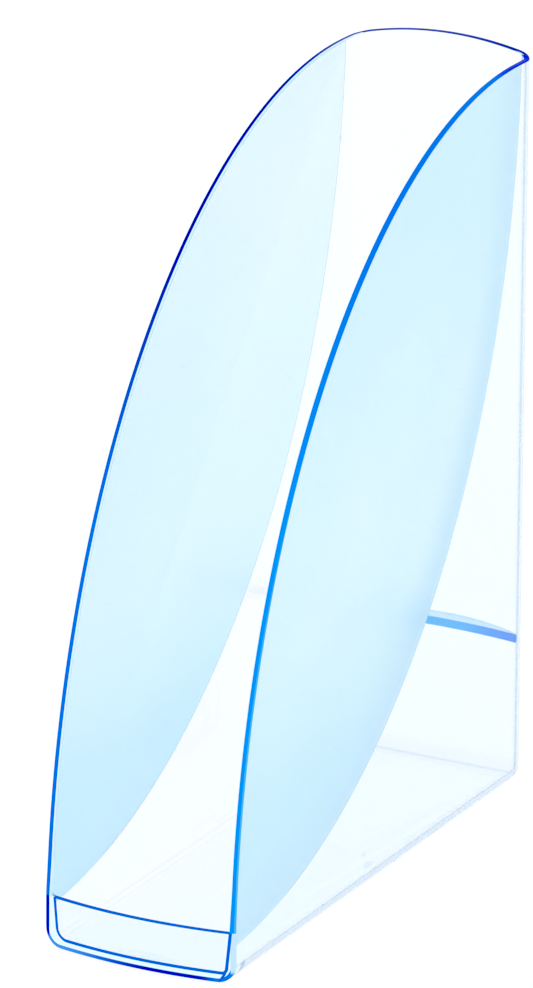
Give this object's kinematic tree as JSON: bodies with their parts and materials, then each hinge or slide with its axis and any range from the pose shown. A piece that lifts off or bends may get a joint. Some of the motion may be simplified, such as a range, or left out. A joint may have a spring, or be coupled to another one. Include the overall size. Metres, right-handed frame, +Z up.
{
  "type": "magazine file holder",
  "caption": "Tall narrow open-front file box in clear ice-blue plastic, with sweeping side walls, frosted crescents, a low front lip and a pull ledge on the back.",
  "frame": {"origin": "bottom centre of the whole object's bounding box, on the surface that the floor stands on", "axes": "+X across the width to the right side wall, +Y from the open front to the rear wall, +Z up"},
  "size_m": [0.0852, 0.2708, 0.3204],
  "materials": {
    "clear_plastic": "clear ice-blue tint, glossy, with the deep blue glow of a tinted plastic at its edges",
    "frosted_plastic": "the same plastic with a fine frosted texture, light blue and translucent"
  },
  "bodies": {
    "root": {"side_wall_left": "clear_plastic", "side_wall_right": "clear_plastic", "frosted_crescent_left": "frosted_plastic", "frosted_crescent_right": "frosted_plastic", "rear_wall": "clear_plastic", "floor_plate": "clear_plastic", "front_lip": "clear_plastic", "pull_ledge": "clear_plastic"}
  },
  "joints": []
}
